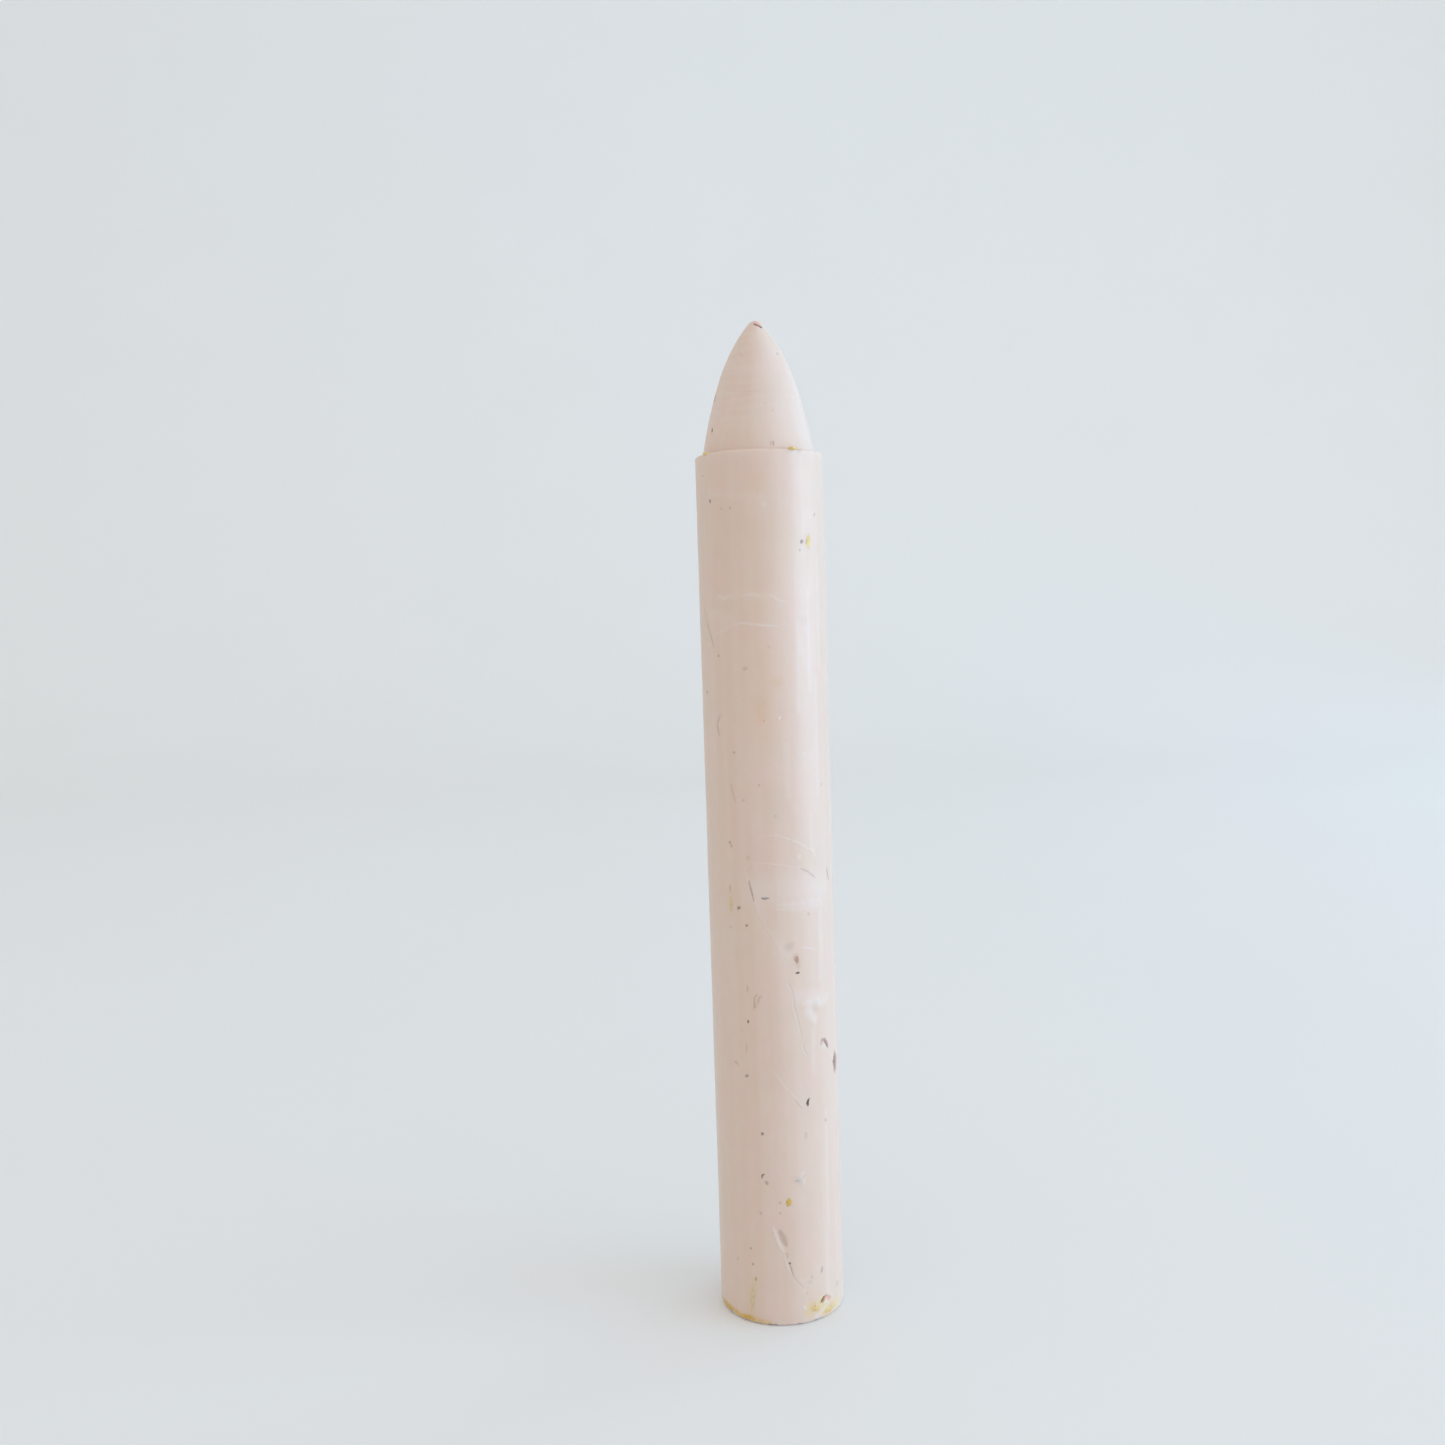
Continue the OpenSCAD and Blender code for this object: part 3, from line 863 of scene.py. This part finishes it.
def crumb_points(angle, inset, up, radius, seed):
    """A rough, squashed little lump of wax on the step, as an icosphere pushed in and out."""
    mesh = bmesh.new()
    bmesh.ops.create_icosphere(mesh, subdivisions=4, radius=1)
    unit = np.array([v.co for v in mesh.verts])
    faces = [tuple(v.index for v in f.verts) for f in mesh.faces]
    mesh.free()
    size = radius * (1 + 0.16 * waves(unit, 1.1, seed) + 0.06 * waves(unit, 0.5, seed + 1))
    turn = math.radians(angle)
    out = BARREL_R - inset
    middle = np.array([out * math.sin(turn), -out * math.cos(turn), SHOULDER_H + up])
    return middle + unit * size[:, None] * np.array([1.3, 1.3, 0.72]), faces


def make_crumbs(name, crumbs, colour, material, slot, node, seed):
    points, faces = [], []
    for i, crumb in enumerate(crumbs):
        made, own = crumb_points(*crumb, seed + 10 * i)
        first = sum(len(p) for p in points)
        faces += [tuple(n + first for n in f) for f in own]
        points.append(made)
    piece = new_piece(name, np.vstack(points), faces, material, slot, node)
    save_attribute(piece.data, "tint", np.tile(COLOURS[colour], (len(piece.data.vertices), 1)))


YELLOW_FLAKE_T = 0.07
DARK_FLAKE_T = 0.04
# Flakes: angle, height of the middle, width, height, lean to the left, bend to the right, colour
BARREL_FLAKES = [
    (46, 73.5, 0.65, 1.25, -8, 0, "yellow"),
    (8, 12, 0.62, 0.78, -15, 0, "gold"),
    (-39, 40.2, 0.45, 1.5, 0, 0, "straw"),
    (-28, 2.6, 0.4, 2.8, -6, 0, "straw"),
]
BASE_FLAKES = [
    (-63, 0.5, 3, 0.5, 0, 0, "gold"),
    (-35, 0.45, 1.6, 0.45, 0, 0, "gold"),
    (-20, 0.35, 1.3, 0.2, 0, 0, "ochre"),
    (31, 1.3, 0.85, 0.75, 20, 0, "honey"),
    (47, 0.65, 1.4, 0.6, 0, 0, "honey"),
]
DARK_FLAKES = [
    (-5.5, 40.9, 0.75, 0.25, 0, 0, "blue"),
    (21.5, 35, 0.42, 0.95, 14, 0, "brick"),
    (22, 33.75, 0.48, 0.23, 0, 0, "umber"),
    (17, 14, 0.5, 0.32, 0, 0, "sage"),
    (30.3, 21.3, 0.28, 1, -12, -0.2, "umber"),
]
# Crumbs: angle, distance in from the barrel's side, height above the step, radius
SHOULDER_CRUMBS = [(31, 0.14, 0, 0.27), (35.5, 0.25, 0.02, 0.17), (-55, 0.15, 0, 0.24)]


# ---- materials
# How deep the grain of the wax looks, in metres
GRAIN_DEPTH = 0.00003


class Nodes:
    """A material's node tree, with short ways to add and link nodes."""

    def __init__(self, name):
        self.material = bpy.data.materials.new(name)
        self.material.use_nodes = True
        self.tree = self.material.node_tree
        self.tree.nodes.clear()
        self.where = self.add("TexCoord").outputs["Object"]

    def add(self, kind, links=(), **values):
        """Adds a node. links are (input, output) pairs; values are properties, or inputs by name."""
        made = self.tree.nodes.new("ShaderNode" + kind)
        for key, value in values.items():
            if hasattr(made, key):
                setattr(made, key, value)
            else:
                made.inputs[key.replace("_", " ")].default_value = value
        for target, source in links:
            self.tree.links.new(made.inputs[target], source)
        return made

    def attribute(self, name, output="Fac"):
        return self.add("Attribute", attribute_name=name).outputs[output]

    def noise(self, where, scale, detail=2.0, roughness=0.5):
        made = self.add("TexNoise", [("Vector", where)], Scale=scale, Detail=detail, Roughness=roughness)
        return made.outputs["Fac"]

    def remap(self, value, low, high, to_low=0.0, to_high=1.0):
        limits = {"From_Min": low, "From_Max": high, "To_Min": to_low, "To_Max": to_high}
        return self.add("MapRange", [("Value", value)], **limits).outputs["Result"]

    def put(self, sockets, *values):
        """Sets sockets to numbers or linear (r, g, b) colours, or links them to other sockets."""
        for socket, value in zip(sockets, values):
            if isinstance(value, (int, float)):
                socket.default_value = value
            elif isinstance(value, tuple):
                socket.default_value = (*value, 1.0)
            else:
                self.tree.links.new(socket, value)

    def math(self, operation, a, b):
        made = self.add("Math", operation=operation)
        self.put(made.inputs, a, b)
        return made.outputs["Value"]

    def mix(self, factor, a, b):
        """Mixes two colours; each is a socket or a linear (r, g, b)."""
        made = self.add("Mix", data_type="RGBA")
        self.put([made.inputs["Factor"]] + [s for s in made.inputs if s.type == "RGBA"], factor, a, b)
        return [s for s in made.outputs if s.type == "RGBA"][0]

    def bump(self, height):
        """A fine grain in the surface, not visible as shape."""
        made = self.add("Bump", [("Height", height)], Strength=0.5, Distance=GRAIN_DEPTH)
        return made.outputs["Normal"]

    def finish(self, colour, roughness, bump=None, **inputs):
        """The Principled shader, its uniform numbers set on its own sockets."""
        links = [("Base Color", colour), ("Roughness", roughness)]
        if bump is not None:
            links.append(("Normal", bump))
        shader = self.add("BsdfPrincipled", links, **inputs)
        self.add("OutputMaterial", [("Surface", shader.outputs["BSDF"])])
        return self.material


def stretched(nodes, x, y, z):
    """Coordinates multiplied along each axis, for streaks."""
    return nodes.add("Mapping", [("Vector", nodes.where)], Scale=(x, y, z)).outputs["Vector"]


def peach_wax():
    """Cast wax: mottled and faintly streaked, chalky where scuffed, with stains, fine pores, painted shade in
    hollows and creases, and a few painted highlights.
    """
    n = Nodes("peach_wax")
    blotches = n.remap(n.noise(n.where, 260, 3), 0.35, 0.65)
    streaks = n.remap(n.noise(stretched(n, 900, 900, 26), 1, 2), 0.35, 0.65)
    colour = n.mix(blotches, WAX_PINK, WAX_SAND)
    colour = n.mix(n.math("MULTIPLY", streaks, 0.22), colour, WAX_STREAK)
    pores = n.remap(n.noise(n.where, 4200, 2), 0.68, 0.80)
    colour = n.mix(n.math("MULTIPLY", pores, 0.14), colour, WAX_PORE)
    clouds = n.remap(n.noise(stretched(n, 1, 1, 0.5), 900, 4, 0.6), 0.45, 0.75)
    colour = n.mix(n.math("MULTIPLY", clouds, 0.12), colour, WAX_PALE)
    # Painted shade: the hollows darker the deeper they are
    colour = n.mix(n.math("MULTIPLY", n.attribute("hollow"), 0.55), colour, WAX_HOLLOW_SHADE)
    # Chalky scuffs, and the painted highlights of some glints, bumps and edges
    colour = n.mix(n.attribute("pale"), colour, WAX_PALE)
    # Stains, and the painted shade laid into some creases, scoops and pits
    colour = n.mix(n.attribute("stain_and_shade"), colour, n.attribute("stain_and_shade_colour", "Vector"))
    grain = n.noise(n.where, 1500, 3, 0.6)
    rough = n.remap(grain, 0.3, 0.7, 0.36, 0.50)
    rough = n.math("ADD", rough, n.math("MULTIPLY", n.attribute("pale"), 0.10))
    rough = n.math("SUBTRACT", rough, n.math("MULTIPLY", n.attribute("gloss"), 0.16))
    height = n.math("ADD", n.math("MULTIPLY", grain, 0.6),
                    n.math("MULTIPLY", n.noise(n.where, 5200, 2), 0.25))
    height = n.math("SUBTRACT", height, n.math("MULTIPLY", pores, 0.35))
    return n.finish(colour, rough, n.bump(height), IOR=1.45, Subsurface_Weight=0.25, Subsurface_Scale=0.0012,
                    Subsurface_Radius=(1.0, 0.55, 0.38), Sheen_Weight=0.12, Sheen_Roughness=0.5)


def smeared_wax(name, subsurface):
    """Foreign wax: its own tint, darker and browner in blotches, with a greasy shine."""
    n = Nodes(name)
    tint = n.attribute("tint", "Vector")
    colour = n.mix(n.remap(n.noise(n.where, 3600, 3), 0.52, 0.72, 0, 0.35), tint, SMEAR_BROWN)
    colour = n.mix(n.remap(n.noise(n.where, 2500, 2), 0.50, 0.70, 0, 0.35), colour, SMEAR_PALE)
    grain = n.noise(n.where, 7000, 3)
    rough = n.remap(grain, 0.3, 0.7, 0.34, 0.52)
    return n.finish(colour, rough, n.bump(grain), IOR=1.45, Subsurface_Weight=subsurface,
                    Subsurface_Scale=0.0004, Subsurface_Radius=(1.0, 0.6, 0.2))


def dark_wax():
    """Foreign wax in dark colours, slightly mottled."""
    n = Nodes("dark_wax")
    tint = n.attribute("tint", "Vector")
    colour = n.mix(n.remap(n.noise(n.where, 4200, 2), 0.5, 0.7, 0, 0.3), tint, DARK_MOTTLE)
    grain = n.noise(n.where, 7000, 3)
    bump = n.bump(grain)
    rough = n.remap(grain, 0.3, 0.7, 0.38, 0.55)
    return n.finish(colour, rough, bump, IOR=1.45)


def matte_paper():
    """Plain pale sweep behind and under the crayon."""
    n = Nodes("sweep_paper")
    tone = n.noise(n.where, 14, 2)
    colour = n.mix(tone, PAPER_SHADE, PAPER_LIGHT)
    rough = n.remap(tone, 0.3, 0.7, 0.85, 0.9)
    return n.finish(colour, rough, IOR=1.4)


# ---- stage, light and camera
BEND_STEPS = 24
LIGHT_REACH = 0.7
ROOM_COLOUR = (1.0, 0.982, 0.952, 1.0)
ROOM_STRENGTH = 0.83
# A low, wide, cool window on the right, and weaker light to either side of it
WINDOWS = (
    ("window", 80, 0.01, 0.2, 0.51, 3.22, (0.427, 0.723, 1.0)),
    ("window_front", 50, 0.01, 0.45, 0.25, 0.32, (1.0, 0.69, 0.91)),
    ("window_back", 130, 0.2, 0.45, 0.25, 0.51, (0.275, 0.65, 1.0)),
)


def make_sweep():
    """Floor and backdrop as one seamless curved sheet."""
    half_width, front, bend_start, bend_r, top = 1.6, -1.2, 0.45, 0.5, 1.8
    line = [(front, 0.0), (bend_start, 0.0)]
    for step in range(1, BEND_STEPS + 1):
        turn = math.pi / 2 * step / BEND_STEPS
        line.append((bend_start + bend_r * math.sin(turn), bend_r * (1 - math.cos(turn))))
    line.append((bend_start + bend_r, top))
    points = [(x, y, z) for y, z in line for x in (-half_width, half_width)]
    faces = [(2 * i, 2 * i + 1, 2 * i + 3, 2 * i + 2) for i in range(len(line) - 1)]
    smooth_mesh("sweep", points, faces, matte_paper())


def soft_light(name, azimuth, low, high, width, power, colour):
    """An upright soft light facing the crayon: azimuth in degrees, sizes in metres, power in watts."""
    data = bpy.data.lights.new(name, "AREA")
    data.shape = "RECTANGLE"
    data.size = width
    data.size_y = high - low
    data.energy = power
    data.color = colour
    lamp = new_object(name, data)
    turn = math.radians(azimuth)
    lamp.location = (LIGHT_REACH * math.sin(turn), -LIGHT_REACH * math.cos(turn), (low + high) / 2)
    lamp.rotation_euler = Vector((-math.sin(turn), math.cos(turn), 0)).to_track_quat("-Z", "Y").to_euler()
    lamp.visible_camera = False


def light_the_scene():
    """The windows, and a pale room all round."""
    world = bpy.data.worlds.new("room")
    world.use_nodes = True
    background = world.node_tree.nodes["Background"]
    background.inputs["Color"].default_value = ROOM_COLOUR
    background.inputs["Strength"].default_value = ROOM_STRENGTH
    bpy.context.scene.world = world
    for window in WINDOWS:
        soft_light(*window)
    bpy.context.scene.view_settings.view_transform = "Standard"


# Camera, measured against the crayon's own proportions
CAMERA_PLACE = (0.0, -128.0 * MM, 66.2 * MM)
CAMERA_TURN = math.radians(-1.87)
CAMERA_DIP = math.radians(4.19)
CAMERA_ROLL = math.radians(-1.79)
CAMERA_LENS = 33.4
CAMERA_SENSOR = 36.0


def make_camera():
    """The camera stands close in front, looks slightly down and is rolled a little."""
    data = bpy.data.cameras.new("camera")
    data.sensor_width = CAMERA_SENSOR
    data.lens = CAMERA_LENS
    data.clip_start = 0.01
    data.clip_end = 20.0
    camera = new_object("camera", data)
    level = Vector((math.sin(CAMERA_TURN), math.cos(CAMERA_TURN), 0))
    across = Vector((math.cos(CAMERA_TURN), -math.sin(CAMERA_TURN), 0))
    up = Vector((0, 0, 1))
    ahead = level * math.cos(CAMERA_DIP) - up * math.sin(CAMERA_DIP)
    above = up * math.cos(CAMERA_DIP) + level * math.sin(CAMERA_DIP)
    right = across * math.cos(CAMERA_ROLL) + above * math.sin(CAMERA_ROLL)
    top = above * math.cos(CAMERA_ROLL) - across * math.sin(CAMERA_ROLL)
    turn = Matrix((right, top, -ahead)).transposed().to_4x4()
    camera.matrix_world = Matrix.Translation(CAMERA_PLACE) @ turn
    bpy.context.scene.camera = camera


make_camera()
make_sweep()
light_the_scene()

make_stick(peach_wax())
YELLOW = smeared_wax("yellow_wax", 0.2)
make_crumbs("shoulder_crumbs", SHOULDER_CRUMBS, "yellow", YELLOW, "yellow_wax", "yellow_crumbs_shoulder", 300)
make_flakes("barrel_flakes", BARREL_FLAKES, YELLOW_FLAKE_T, YELLOW, "yellow_wax", "yellow_flakes_barrel", 400)
make_flakes("base_flakes", BASE_FLAKES, YELLOW_FLAKE_T, YELLOW, "yellow_wax", "yellow_flakes_base", 500)
make_flakes("dark_crumbs", DARK_FLAKES, DARK_FLAKE_T, dark_wax(), "dark_wax", "dark_flakes", 600)
